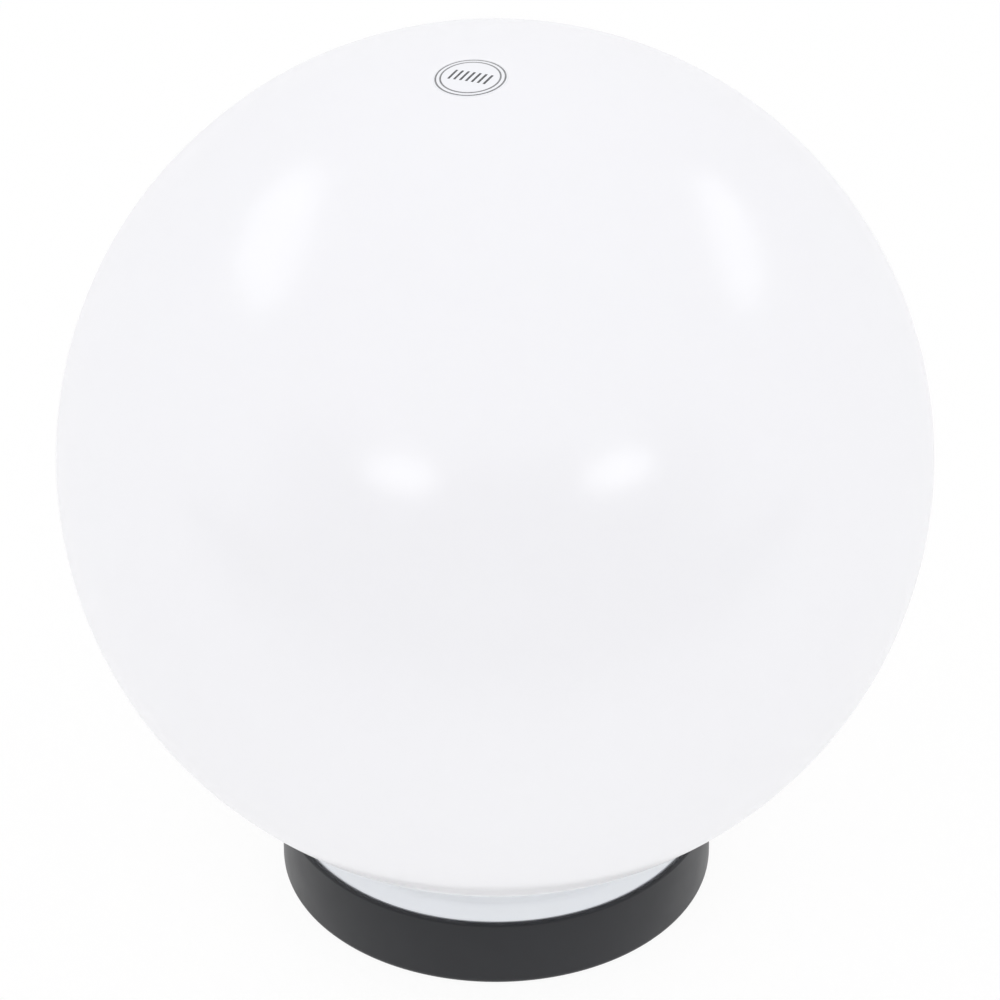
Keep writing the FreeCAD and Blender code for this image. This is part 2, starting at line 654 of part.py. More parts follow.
def make_terminal_block():
    middle = "-(block_left + block_right) / 2"
    body = block("block_solid", ("-block_left", "-block_half", "base_floor"),
                 ("-block_right", "block_half", "block_top"))
    rooms, inserts, screws, fixings = [], [], [], []
    width = "block_left - block_right"
    seat = "-block_left + pole_end_wall"
    for pole in (-1, 0, 1):
        y = "%d * pole_step" % pole
        rooms.append(rod("pole_room", ("-block_left - through", y, "pole_height"), "pole_mouth",
                         width + " + 2 * through", (1, 0, 0)))
        rooms.append(rod("pole_seat", (seat, y, "pole_height"), "pole_radius",
                         width + " - 2 * pole_end_wall", (1, 0, 0)))
        barrel = rod("pole_barrel", (seat + " + pole_end_gap", y, "pole_height"),
                     "pole_radius - pole_gap", width + " - 2 * (pole_end_wall + pole_end_gap)",
                     (1, 0, 0))
        bores = [rod("pole_bore_hole", ("-block_left", y, "pole_height"), "pole_bore", width,
                     (1, 0, 0))]
        for number, side in enumerate((-1, 1), start=1):
            x = "%s + %d * pole_screw_reach" % (middle, side)
            rooms.append(rod("screw_room", (x, y, "pole_height"), "pole_screw_room",
                             "block_top - pole_height + through"))
            bores.append(rod("screw_bore", (x, y, "pole_height"), "pole_bore",
                             "pole_radius + through"))
            screws.append(screw("pole_screw_%d_%d" % (pole + 2, number),
                                (x, y, "pole_height + pole_radius"), "pole"))
        inserts.append(cut("pole_insert_%d" % (pole + 2), barrel, bores))
    for number, side in enumerate((-1, 1), start=1):
        y = "%d * pole_step / 2" % side
        rooms.append(rod("block_fixing_hole", (middle, y, "base_floor - through"), "block_hole",
                         "block_top - base_floor + 2 * through"))
        fixings.append(screw("block_screw_%d" % number, (middle, y, "block_top"), "block"))
    piece(cut("terminal_block_cut", body, rooms), "terminal_block")
    piece(group("pole_insert_group", inserts), "terminal_inserts")
    piece(group("pole_screw_group", screws), "terminal_screws")
    piece(group("block_screw_group", fixings), "terminal_block_screws")


def make_wires():
    """Each wire goes from its pole round the lampholder's foot to its own contact."""
    start = "-block_right - wire_start"
    wire("live_wire", [
        (start, "pole_step", "pole_height"), (-44, 9.5, 6.4), (-30, 16, 5.6), (-16, 25, 6.6),
        (-6, 26.5, 10.4), (-4, 20, "terminal_height"),
        (-4, "live_plate + wire_gap", "terminal_height")])
    wire("neutral_wire", [
        (start, "-pole_step", "pole_height"), (-43, -8.5, 6.4), (-26, -13, 5.4),
        (-14, -24, 6.4), (-5.5, -27.5, 10), (-4, -21, "terminal_height"),
        (-4, "-neutral_plate - wire_gap", "terminal_height")])
    low = "bracket_foot + bracket_thick"
    barrel_height = low + " + tag_thick / 2"
    wire("earth_wire", [(start, 0, "pole_height"), (-44.5, 0.8, 7.6),
                        ("-tag_wire_end", 0, barrel_height)])
    tag = join("tag_solid", [
        rod("tag_eye", ("-bracket_screw", 0, low), "tag_ring", "tag_thick"),
        block("tag_tongue", ("-tag_tongue_left", "-tag_tongue_half", low),
              ("-tag_tongue_right", "tag_tongue_half", low + " + tag_thick")),
        rod("tag_crimp", ("-tag_barrel_left", 0, barrel_height), "tag_barrel",
            "tag_barrel_length", (1, 0, 0))])
    hole = rod("tag_eye_hole", ("-bracket_screw", 0, low + " - through"), "tag_hole",
               "tag_thick + 2 * through")
    piece(cut("earth_tag_cut", tag, [hole]), "earth_tag")


# ---------------------------------------------------------------- bulb

def make_bulb_cap():
    foot = "insulator_radius + cap_gap"
    body = turned_body("bulb_cap_body", [
        (foot, "cap_low"),
        ("cap_root", "cap_shoulder"),
        ("cap_root", "sink_low"),
        ("cap_inner", "sink_low"),
        ("cap_inner", "cap_shoulder + cap_shoulder_wall"),
        (foot, "cap_low + cap_foot_wall"),
    ])
    rib = "cap_thread_start "
    rib_base, crest_side = "cap_root - rib_sink", "cap_crest - cap_crest_round"
    thread(body, [
        (rib_base, rib + "- cap_rib_half"), (crest_side, rib + "- cap_rib_slope"),
        ("cap_crest", rib + "- cap_rib_flat"), ("cap_crest", rib + "+ cap_rib_flat"),
        (crest_side, rib + "+ cap_rib_slope"), (rib_base, rib + "+ cap_rib_half"),
    ], "cap_turns")
    piece(body, "bulb_cap")


def make_bulb_tip():
    """The contact at the cap's end, and the insulator that carries it."""
    sunk = "cap_low + insulator_sink"
    piece(turned_body("bulb_insulator_body", [
        (0, "insulator_low"), ("tip_radius + insulator_slope", "insulator_low"),
        ("insulator_radius", "cap_low"), ("insulator_radius", sunk), (0, sunk)]),
        "bulb_cap_insulator")
    piece(turned_body("bulb_tip_body", [
        (0, "bulb_tip"), ("tip_radius - tip_slope", "bulb_tip"),
        ("tip_radius", "bulb_tip + tip_edge"), ("tip_radius", "insulator_low"),
        (0, "insulator_low")]), "bulb_tip_contact")


def make_bulb_heatsink():
    seam = "sqrt(bulb_radius ^ 2 - (bulb_centre - sink_top) ^ 2)"
    board_room = "board_radius + board_gap"
    piece(turned_body("heatsink_body", [
        ("sink_bore", "sink_low"),
        ("sink_foot", "sink_low"),
        ("sink_start", "sink_low + sink_edge", "sink_bow", -1),
        (seam, "sink_top"),
        (board_room, "sink_top"),
        (board_room, "board_height"),
        ("sink_inner_top", "board_height"),
        ("sink_inner_low", "sink_low + sink_floor"),
        ("sink_bore", "sink_low + sink_floor"),
    ]), "bulb_heatsink")


def make_bulb_dome():
    drop = "(bulb_centre - sink_top)"
    inner = "(bulb_radius - bulb_wall)"
    piece(turned_body("dome_body", [
        (0, "bulb_centre + bulb_radius", "bulb_radius", -1),
        ("sqrt(bulb_radius ^ 2 - %s ^ 2)" % drop, "sink_top"),
        ("sqrt(%s ^ 2 - %s ^ 2)" % (inner, drop), "sink_top", inner, 1),
        (0, "bulb_centre + " + inner)]), "bulb_dome")


def make_bulb_boards():
    board_top = "board_height + board_thick"
    piece(turned_body("led_board_body", [
        (0, "board_height"), ("board_radius", "board_height"), ("board_radius", board_top),
        (0, board_top)]), "bulb_led_board")
    chips = []
    for number in range(CHIP_COUNT):
        angle = 360 * number / CHIP_COUNT
        chip = block("chip_%d" % (number + 1), (0, 0, 0), ("chip_size", "chip_size", "chip_thick"))
        x, y = on_circle("chip_circle", angle)
        chips.append(place(chip, (x + " - chip_size / 2", y + " - chip_size / 2", board_top)))
    piece(group("led_chip_group", chips), "bulb_led_chips")
    piece(block("driver_board", ("-driver_half", "-driver_half_thick", "sink_low + driver_lift"),
                ("driver_half", "driver_half_thick", "board_height - driver_gap")),
          "bulb_driver_board")


# ---------------------------------------------------------------- build, check, write

def check(thing):
    """Stop if a piece did not come out as sound solids."""
    if thing.Shape.isNull() or not thing.Shape.isValid() or not thing.Shape.Solids:
        raise ValueError("bad shape: " + thing.Label)


for make in (make_globe, make_top_sticker, make_base_housing, make_foot_seal, make_cable_grommet,
             make_collar, make_collar_seal, make_neck_seal, make_globe_clips, make_collar_screws,
             make_lampholder_bracket, make_bracket_screws, make_lampholder_body,
             make_lampholder_fixings, make_lampholder_shell, make_contacts, make_terminal_block,
             make_wires, make_bulb_cap, make_bulb_tip, make_bulb_heatsink, make_bulb_dome,
             make_bulb_boards):
    make()
doc.recompute()

for thing in doc.Objects:
    if {"Invalid", "Error"} & set(thing.State):
        raise ValueError("failed: %s %s" % (thing.Name, thing.State))
for thing in pieces:
    check(thing)

os.makedirs("parts", exist_ok=True)
for thing in pieces:
    thing.Shape.exportStep(os.path.join("parts", thing.Label + ".step"))
    print("%-28s %2d solid(s) %12.1f mm3" % (thing.Label, len(thing.Shape.Solids),
                                           thing.Shape.Volume))
print(len(pieces), "nodes")
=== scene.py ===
# %% [markdown]
# # Garden globe light
#
# An opal white ball stands in a white collar on a low black base. Inside it a screw bulb
# sits in a porcelain lampholder. The packed model gives every piece its place, in metres,
# with the middle of the underside at the origin. This file dresses it. The packed solids
# come as flat triangles, which is fine for small parts inside, so those are only painted.
# What shows from outside is turned again here, because long smooth curves in gloss show
# every facet.

import math

import bmesh
import bpy
from mathutils import Matrix, Vector


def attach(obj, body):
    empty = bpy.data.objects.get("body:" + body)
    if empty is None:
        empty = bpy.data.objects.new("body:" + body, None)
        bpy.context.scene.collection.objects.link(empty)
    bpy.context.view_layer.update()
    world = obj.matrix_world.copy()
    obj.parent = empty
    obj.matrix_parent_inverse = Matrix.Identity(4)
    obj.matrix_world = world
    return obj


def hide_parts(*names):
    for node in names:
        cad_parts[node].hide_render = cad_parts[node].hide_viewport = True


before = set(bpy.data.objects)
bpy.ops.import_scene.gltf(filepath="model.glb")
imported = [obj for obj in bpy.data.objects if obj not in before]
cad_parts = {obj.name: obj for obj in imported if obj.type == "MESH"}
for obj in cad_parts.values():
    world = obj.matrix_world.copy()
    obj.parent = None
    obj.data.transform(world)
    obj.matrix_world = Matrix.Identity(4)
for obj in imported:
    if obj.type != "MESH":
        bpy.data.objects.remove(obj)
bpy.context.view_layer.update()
MM = 0.001


# %% [markdown]
# ## Camera
# The photograph looks down at the light from about 34 degrees, from some two metres away
# with a long lens, so the ball stays round and the base shows as a flat oval below it.
# A camera could be aimed with a constraint, but the tilt and the tiny roll here come from
# fitting the outlines of ball and base, so they are written as angles and multiplied into
# one matrix.

# %% Camera
BALL_RADIUS, BALL_HEIGHT = 150, 170
GLOBE_CENTRE = Vector((0, 0, BALL_HEIGHT * MM))
CAMERA_DISTANCE = 14 * BALL_RADIUS * MM
CAMERA_ELEVATION = math.radians(34.05)
CAMERA_TILT = math.radians(34.45)
CAMERA_ROLL = math.radians(-0.16)
CAMERA_RIGHT = 1.8 * MM
CAMERA_LENS, SENSOR_WIDTH = 220.86, 36
HALF_PIXEL = 0.5 / 1000


def make_camera():
    camera = bpy.data.objects.new("camera", bpy.data.cameras.new("camera"))
    camera.data.lens, camera.data.sensor_width = CAMERA_LENS, SENSOR_WIDTH
    camera.data.shift_x, camera.data.shift_y = -HALF_PIXEL, HALF_PIXEL
    camera.data.clip_end = 50
    back = CAMERA_DISTANCE * math.cos(CAMERA_ELEVATION)
    rise = CAMERA_DISTANCE * math.sin(CAMERA_ELEVATION)
    place = Matrix.Translation(GLOBE_CENTRE + Vector((CAMERA_RIGHT, -back, rise)))
    look_down = Matrix.Rotation(math.pi / 2 - CAMERA_TILT, 4, "X")
    camera.matrix_world = place @ look_down @ Matrix.Rotation(CAMERA_ROLL, 4, "Z")
    bpy.context.scene.collection.objects.link(camera)
    bpy.context.scene.camera = camera
    return camera


camera = make_camera()
print("camera:", [round(value, 3) for value in camera.matrix_world.translation])


# %% [markdown]
# ## Drawing a section
# Nearly every piece of this light is round, as if made on a lathe. Half of its section is
# drawn with a pen: straight strokes extrude the last point, and arcs are that point spun
# about their own centre. The points could be listed in a table, but this keeps each shape
# as the few sizes that a turner would read from a drawing.

# %% Pen
class Pen:
    """Draws a half section in the XZ plane, in millimetres, from point to point."""

    def __init__(self, radius, height):
        self.mesh = bmesh.new()
        start = Vector((radius, 0, height)) * MM
        self.tip = bmesh.ops.create_vert(self.mesh, co=start)["vert"][0]
        self.first = self.tip

    def line(self, radius, height):
        """A straight stroke to (radius, height)."""
        stroke = bmesh.ops.extrude_vert_indiv(self.mesh, verts=[self.tip])
        self.tip = stroke["verts"][0]
        self.tip.co = Vector((radius, 0, height)) * MM
        return self

    def arc(self, centre, degrees, steps=8):
        """A stroke bent about a centre, anticlockwise in the section if degrees is positive."""
        middle = Vector((centre[0], 0, centre[1])) * MM
        turn = bmesh.ops.spin(self.mesh, geom=[self.tip], cent=middle, axis=(0, -1, 0),
                              angle=math.radians(degrees), steps=steps, use_duplicate=False)
        self.tip = [item for item in turn["geom_last"] if isinstance(item, bmesh.types.BMVert)][0]
        return self

    def bow(self, radius, height, bend, steps=16):
        """A stroke to (radius, height) on an arc, whose centre is to the left if bend > 0."""
        start = Vector((self.tip.co.x, self.tip.co.z)) / MM
        end = Vector((radius, height))
        chord = end - start
        left = Vector((-chord.y, chord.x)).normalized() * math.copysign(1, bend)
        centre = (start + end) / 2 + left * math.sqrt(bend ** 2 - (chord.length / 2) ** 2)
        swept = 2 * math.asin(chord.length / 2 / abs(bend))
        return self.arc(centre, math.degrees(math.copysign(swept, bend)), steps)

    def close(self):
        """Joins the last point to the first."""
        bmesh.ops.contextual_create(self.mesh, geom=[self.tip, self.first])
        return self


print("the pen draws", ", ".join(name for name in vars(Pen) if not name.startswith("_")))


# %% [markdown]
# ## Turning it
# One full spin of the section about Z makes the solid. A Screw modifier could do the same,
# but the operator gives a finished mesh at once. Merging doubles closes the poles and the
# seam, and the normals are worked out afterwards, because a spin can leave a shape inside
# out. Shading is smooth, except over edges that turn by more than the crease.

# %% Lathe
TURN_STEPS = 256
CREASE = 35
SAME_POINT = 0.002 * MM


def spin_round(pen, steps=TURN_STEPS):
    """Spins a section about the upright axis and gives back its mesh."""
    mesh = pen.mesh
    bmesh.ops.spin(mesh, geom=mesh.verts[:] + mesh.edges[:], cent=(0, 0, 0), axis=(0, 0, 1),
                   angle=2 * math.pi, steps=steps, use_merge=True)
    return mesh


def finish_mesh(name, mesh):
    """Turns a mesh into an object and counts its faces."""
    bmesh.ops.remove_doubles(mesh, verts=mesh.verts, dist=SAME_POINT)
    bmesh.ops.recalc_face_normals(mesh, faces=mesh.faces)
    data = bpy.data.meshes.new(name)
    mesh.to_mesh(data)
    mesh.free()
    data.shade_smooth()
    data.set_sharp_from_angle(angle=math.radians(CREASE))
    piece = bpy.data.objects.new(name, data)
    bpy.context.scene.collection.objects.link(piece)
    print("made %-21s %6d faces" % (name, len(data.polygons)))
    return piece


print("turned in", TURN_STEPS, "steps,", round(360 / TURN_STEPS, 2), "degrees each")


# %% [markdown]
# ## Writing materials as sums
# A material is a small calculation over the surface. Wrapping a node's socket in a class
# with + - * and ** lets the calculation be written as a plain expression. Any other node
# comes from one method, which takes the node's type, its settings and the values of its
# sockets. Nodes could be placed and linked one by one, but the sums would be hard to read.

# %% Values and nodes
class Wire:
    """A value in a node tree that can be used in arithmetic."""

    def __init__(self, nodes, socket):
        self.nodes, self.socket = nodes, socket

    def _math(self, operation, first, second):
        return self.nodes.add("ShaderNodeMath", {"operation": operation}, [first, second])

    def __add__(self, other):
        return self._math("ADD", self, other)

    def __radd__(self, other):
        return self._math("ADD", other, self)

    def __sub__(self, other):
        return self._math("SUBTRACT", self, other)

    def __rsub__(self, other):
        return self._math("SUBTRACT", other, self)

    def __mul__(self, other):
        return self._math("MULTIPLY", self, other)

    def __pow__(self, other):
        return self._math("POWER", self, other)

    def over(self, other):
        """1 where this is greater than the other, else 0."""
        return self._math("GREATER_THAN", self, other)

    def under(self, other):
        """1 where this is less than the other, else 0."""
        return self._math("LESS_THAN", self, other)

    def size(self):
        """The value without its sign."""
        return self._math("ABSOLUTE", self, 0)


class Nodes:
    """The node tree of a material or a world."""

    def __init__(self, tree):
        self.tree = tree

    def add(self, kind, settings=None, values=None, output=0):
        """Adds a node. settings are set first, then values by socket name or number."""
        node = self.tree.nodes.new(kind)
        for setting, value in (settings or {}).items():
            setattr(node, setting, value)
        pairs = values.items() if isinstance(values, dict) else enumerate(values or [])
        for socket, value in pairs:
            if isinstance(value, Wire):
                self.tree.links.new(value.socket, node.inputs[socket])
            else:
                node.inputs[socket].default_value = value
        return Wire(self, node.outputs[output])

    def several(self, kind, names, values=None):
        """Adds a node and gives back more than one of its outputs."""
        outputs = self.add(kind, {}, values).socket.node.outputs
        return [Wire(self, outputs[name]) for name in names]

    def place(self):
        """Where a point of the surface is, in metres."""
        return self.add("ShaderNodeTexCoord", output="Object")

    def axes(self, place):
        """The X, Y and Z of a place or direction."""
        return self.several("ShaderNodeSeparateXYZ", "XYZ", [place])

    def mix_shaders(self, share, first, second):
        """A shader between two, as share goes from 0 to 1."""
        return self.add("ShaderNodeMixShader", {}, [share, first, second])

    def show(self, shader, output="Material Output"):
        """Makes a shader the one that is seen."""
        self.tree.links.new(shader.socket, self.tree.nodes[output].inputs["Surface"])


print("a value can be worked with by + - * **, over, under and size")


# %% [markdown]
# ## One finish
# Plastic, rubber, metal and glaze are all Principled surfaces. Values that stay the same
# are set on the surface's own sockets, and only those that vary are joined to nodes. Noise
# gives the small clouds in tone, gloss and height that real mouldings have. A picture could
# do that too, but noise in the object's own place has no seam and needs no unwrapping.

# %% Finish
def socket_name(name):
    """base_color stands for the socket called Base Color."""
    return name.replace("_", " ").title().replace("Ior", "IOR")


class Finish(Nodes):
    """One material: a Principled surface whose constant values are set on its own sockets."""

    def __init__(self, name, **constants):
        self.material = bpy.data.materials.new(name)
        self.material.use_nodes = True
        super().__init__(self.material.node_tree)
        self.surface = self.tree.nodes["Principled BSDF"]
        for socket, value in constants.items():
            self.surface.inputs[socket_name(socket)].default_value = value

    def noise(self, size, detail=2.0, stretch=(1, 1, 1)):
        """Cloudy noise between 0 and 1 whose blotches are about size metres across."""
        spot = self.add("ShaderNodeMapping", {}, {"Vector": self.place(), "Scale": stretch})
        return self.add("ShaderNodeTexNoise", {},
                        {"Vector": spot, "Scale": 1 / size, "Detail": detail})

    def mix(self, share, first, second):
        """A colour between two, as share goes from 0 to 1."""
        return self.add("ShaderNodeMix", {"data_type": "RGBA"},
                        {0: share, 6: first, 7: second}, output=2)

    def feed(self, **wires):
        """Joins wires to the surface's sockets."""
        for socket, wire in wires.items():
            self.tree.links.new(wire.socket, self.surface.inputs[socket_name(socket)])

    def shine(self):
        """The Principled surface itself, to be mixed with other shaders."""
        return Wire(self, self.surface.outputs[0])

    def bump(self, height, depth, strength=1.0):
        """Raises the surface by height, from 0 to 1, times depth in metres."""
        self.feed(normal=self.add("ShaderNodeBump", {}, {
            "Height": height, "Distance": depth, "Strength": strength}))


def colour(red, green, blue):
    """A colour as a screen shows it, 0 to 255, made linear for the shader."""
    linear = [value / 255 / 12.92 if value <= 10 else ((value / 255 + 0.055) / 1.055) ** 2.4
              for value in (red, green, blue)]
    return tuple(linear) + (1.0,)


print("white 250 on a screen is", round(colour(250, 250, 250)[0], 3), "in the shader")


# %% [markdown]
# ## Dressing the pieces
# A packed piece is painted by its node's name. A piece that is turned again here rides on
# the same body, the packed nodes it takes the place of are hidden, and it gets one material.
# Pieces could be joined into one mesh, but then they could not move or be changed apart.

# %% Dressing
def paint(thing, finish):
    """Gives an object, or a packed node by name, one material."""
    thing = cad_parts[thing] if isinstance(thing, str) else thing
    thing.data.materials.clear()
    thing.data.materials.append(finish.material)
    print("painted %-27s %s" % (thing.name, finish.material.name))


def dress(piece, body, nodes, finish):
    """Puts a new piece on its body in place of packed nodes, and paints it."""
    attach(piece, body)
    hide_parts(*nodes)
    paint(piece, finish)


# %% [markdown]
# ## Opal acrylic
# The ball is acrylic, moulded to a shell 2 mm thick, milky all the way through and polished
# outside. Light soaks into the wall and part of it comes out on the other side, so the
# closed ball fills with light and glows evenly, also underneath, where it brightens the
# collar. To follow light through a thin wall is slow, so the outside is treated as one
# milky sheet: part of its light is turned back by a glossy white and more is let through.
# The inside of the wall is then clear, so that the light is spread only once. Subsurface
# scattering could spread the light too, but it keeps the light near where it comes in, and
# the collar would stay dark. Very faint clouds in tone, gloss and height keep the white from
# looking like paint.

# %% Opal acrylic
BALL_WALL = 2
LET_THROUGH = 0.57
MILK = (0.99, 0.99, 0.995, 1)


def opal_acrylic():
    finish = Finish("opal_acrylic", ior=1.55, specular_ior_level=1.0)
    cloud = finish.noise(0.09, detail=3)
    finish.feed(base_color=finish.mix(cloud, colour(249, 248, 252), colour(250, 251, 254)))
    finish.feed(roughness=finish.noise(0.03, detail=4) * 0.05 + 0.15)
    finish.bump(finish.noise(0.05, detail=1), 0.00012)
    passed = finish.add("ShaderNodeBsdfTranslucent", {}, {"Color": MILK})
    sheet = finish.mix_shaders(LET_THROUGH, finish.shine(), passed)
    from_centre = finish.add("ShaderNodeMapping", {},
                             {"Vector": finish.place(), "Location": -GLOBE_CENTRE})
    reach = finish.add("ShaderNodeVectorMath", {"operation": "LENGTH"}, [from_centre],
                       output="Value")
    inside = reach.under((BALL_RADIUS - BALL_WALL / 2) * MM)
    finish.show(finish.mix_shaders(inside, sheet, finish.add("ShaderNodeBsdfTransparent")))
    return finish


print("the wall lets %d%% of the light through" % round(100 * LET_THROUGH))


# %% [markdown]
# ## Ball
# The ball opens at the bottom into a short straight neck, with a lip turned in at its foot
# that the spring clips hold. A sphere could be cut and joined to a tube, but the small bend
# between them is easier as one turned section: two arcs that touch, outside and inside.

# %% Ball
NECK_RADIUS, NECK_WALL, NECK_FOOT, NECK_BEND, NECK_ROUND = 44, 2, 13, 3, 0.5
LIP_RADIUS, LIP_TOP, LIP_SLOPE = 40.3, 15.4, 1


def make_ball():
    """The shell's section: down the outside, round the neck's foot, and up the inside."""
    bend_radius = NECK_RADIUS + NECK_BEND
    reach = BALL_RADIUS + NECK_BEND
    drop = math.sqrt(reach ** 2 - bend_radius ** 2)
    bend_centre = (bend_radius, BALL_HEIGHT - drop)
    sweep = 90 + math.degrees(math.atan2(drop, bend_radius))
    bend = math.degrees(math.acos(bend_radius / reach))
    foot = NECK_FOOT + NECK_ROUND
    pen = Pen(0, BALL_HEIGHT + BALL_RADIUS)
    pen.arc((0, BALL_HEIGHT), -sweep, 112).arc(bend_centre, bend, 10)
    pen.line(NECK_RADIUS, foot).arc((NECK_RADIUS - NECK_ROUND, foot), -90, 4)
    pen.line(LIP_RADIUS + NECK_ROUND, NECK_FOOT).arc((LIP_RADIUS + NECK_ROUND, foot), -90, 4)
    pen.line(LIP_RADIUS, LIP_TOP).line(NECK_RADIUS - NECK_WALL, LIP_TOP + LIP_SLOPE)
    pen.line(NECK_RADIUS - NECK_WALL, bend_centre[1])
    pen.arc(bend_centre, -bend, 10).arc((0, BALL_HEIGHT), sweep, 96)
    return finish_mesh("ball_shell", spin_round(pen))


dress(make_ball(), "globe", ["globe"], opal_acrylic())


# %% [markdown]
# ## Round label
# A clear film label, 25 mm across, is stuck beside the top of the ball. The film follows
# the ball's curve. It could be a flat disc bent with a Shrinkwrap modifier, but a short arc
# about the ball's own centre is already the right shape, so it is turned like the ball and
# then tilted to its place.

# %% Label film
LABEL_RADIUS = 12.5
LABEL_LEFT, LABEL_BACK = 7.7, 2
LABEL_LIFT, LABEL_SINK = 0.12, 0.03


def label_tilt():
    """Turns straight up into the direction of the label's middle."""
    rise = math.sqrt(BALL_RADIUS ** 2 - LABEL_LEFT ** 2 - LABEL_BACK ** 2)
    towards = Vector((-LABEL_LEFT, LABEL_BACK, rise))
    return Vector((0, 0, 1)).rotation_difference(towards)


def make_label():
    edge = math.asin(LABEL_RADIUS / BALL_RADIUS)
    spread = math.degrees(edge)
    inside = BALL_RADIUS - LABEL_SINK
    pen = Pen(0, BALL_HEIGHT + BALL_RADIUS + LABEL_LIFT).arc((0, BALL_HEIGHT), -spread, 24)
    pen.line(inside * math.sin(edge), BALL_HEIGHT + inside * math.cos(edge))
    pen.arc((0, BALL_HEIGHT), spread, 24)
    label = finish_mesh("round_label", spin_round(pen, steps=96))
    about = Matrix.Translation(GLOBE_CENTRE)
    label.data.transform(about @ label_tilt().to_matrix().to_4x4() @ about.inverted())
    return label


label = make_label()


# %% [markdown]
# ## Print on the label
# The label shows as two thin grey rings round a small mark. The mark here is a plain row of
# slanted strokes. The print could be a picture on the film, but distances from the label's
# middle give it sharp at any size: a ring is where that distance is near one value, and the
# strokes are where a folded distance along the row is small.

# %% Label print
RINGS, RING_LINE = (11.6, 10), 0.3
ROW_LEAN, ROW_HALF_LENGTH = math.radians(-22), 7.4
STROKE_STEP, STROKE_SLANT, STROKE_HALF_WIDTH, STROKE_HALF_HEIGHT = 2.1, 0.12, 0.42, 3.1
STROKE_STRENGTH = 1.2
FILM_WHITE, INK_GREY = colour(240, 241, 244), colour(62, 63, 66)


def strokes(finish, across, along):
    """1 on the slanted strokes of the row, else 0."""
    along_row = across * math.cos(ROW_LEAN) + along * math.sin(ROW_LEAN)
    up_row = along * math.cos(ROW_LEAN) - across * math.sin(ROW_LEAN)
    folded = finish.add("ShaderNodeMath", {"operation": "PINGPONG"},
                        [along_row - up_row * STROKE_SLANT, STROKE_STEP / 2 * MM])
    marks = folded.under(STROKE_HALF_WIDTH * MM) * up_row.size().under(STROKE_HALF_HEIGHT * MM)
    return marks * along_row.size().under(ROW_HALF_LENGTH * MM)


def label_film():
    """Rings and strokes are measured from the label's own middle, across its face."""
    finish = Finish("label_film", roughness=0.2, ior=1.5)
    untilt = label_tilt().inverted()
    spot = finish.add("ShaderNodeMapping", {}, {
        "Vector": finish.place(), "Rotation": untilt.to_euler(),
        "Location": untilt @ -GLOBE_CENTRE})
    across, along, _ = finish.axes(spot)
    reach = (across * across + along * along) ** 0.5
    outer, inner = [(reach - ring * MM).size().under(RING_LINE * MM) for ring in RINGS]
    ink = finish.noise(0.0012, detail=2) * 0.35 + 0.65
    share = (outer + inner + strokes(finish, across, along) * STROKE_STRENGTH) * ink
    finish.feed(base_color=finish.mix(share, FILM_WHITE, INK_GREY))
    finish.feed(roughness=share * 0.25 + 0.2)
    return finish


dress(label, "globe", ["top_sticker"], label_film())


# %% [markdown]
# ## Plates with holes
# The floor of the base is flat and pierced. Its holes could be cut with Boolean modifiers,
# but these leave ragged faces, so the floor is filled between circles instead: the outer
# circle and one for each hole. The holes' own walls bridge the circles above and below.

# %% Plates with holes
HOLE_STEPS = 48


def circle(mesh, radius, height, middle=(0, 0), steps=TURN_STEPS):
    """A ring of edges, in millimetres, each of them once and always in the same order."""
    place = Matrix.Translation(Vector((middle[0], middle[1], height)) * MM)
    ring = bmesh.ops.create_circle(mesh, segments=steps, radius=radius * MM, matrix=place)
    return list(dict.fromkeys(edge for vert in ring["verts"] for edge in vert.link_edges))


def bored_hole(mesh, radius, low, high, middle):
    """The wall of a hole. Gives back its lower and its upper ring."""
    rings = [circle(mesh, radius, height, middle, HOLE_STEPS) for height in (low, high)]
    bmesh.ops.bridge_loops(mesh, edges=rings[0] + rings[1])
    return rings


def plate(mesh, edges):
    """Fills the flat area between an outer ring and the rings of its holes."""
    bmesh.ops.triangle_fill(mesh, edges=edges, use_beauty=True)


def boss(mesh, radius, low, high, middle):
    """A solid post."""
    centre = Vector((middle[0], middle[1], (low + high) / 2)) * MM
    bmesh.ops.create_cone(mesh, cap_ends=True, segments=HOLE_STEPS, radius1=radius * MM,
                          radius2=radius * MM, depth=(high - low) * MM,
                          matrix=Matrix.Translation(centre))


def around(radius, angle):
    """The place at an angle on a circle about the middle."""
    return radius * math.cos(math.radians(angle)), radius * math.sin(math.radians(angle))


print("a hole is bored in", HOLE_STEPS, "steps")


# %% [markdown]
# ## Black base
# The base is one moulding in black plastic: a shallow cup with a fully rounded rim, a small
# round at the foot and a groove beneath it for the rubber ring. It could be a cylinder with
# bevelled edges, but the ledge and the groove make it simpler to turn its wall whole. The
# floor, with the holes for fixing and cable and the posts for the screws, is put in after.

# %% Base cup
BASE_RADIUS, BASE_HEIGHT, BASE_WALL, BASE_FLOOR = 76, 26.4, 2.3, 3
FOOT_ROUND, RIM_ROUND = 2.6, 0.95
LEDGE_RADIUS, LEDGE_TOP = 70.5, 19
GROOVE_IN, GROOVE_OUT, GROOVE_DEPTH = 64, 70, 1.6
INLET, INLET_HOLE, INLET_RECESS, INLET_STEP = (0, 50), 6, 7.8, 1.2
FIXING_HOLE, FIXINGS = 2.6, [(58, angle) for angle in (30, 150, 270)]
COLLAR_BOSS, COLLAR_BOSSES = (4.5, 9), [(35.5, angle) for angle in (90, 210, 330)]
BRACKET_BOSS, BRACKET_BOSSES = (4.2, 5), [(26.5, angle) for angle in (0, 180)]
BOSS_ROOT = 0.5


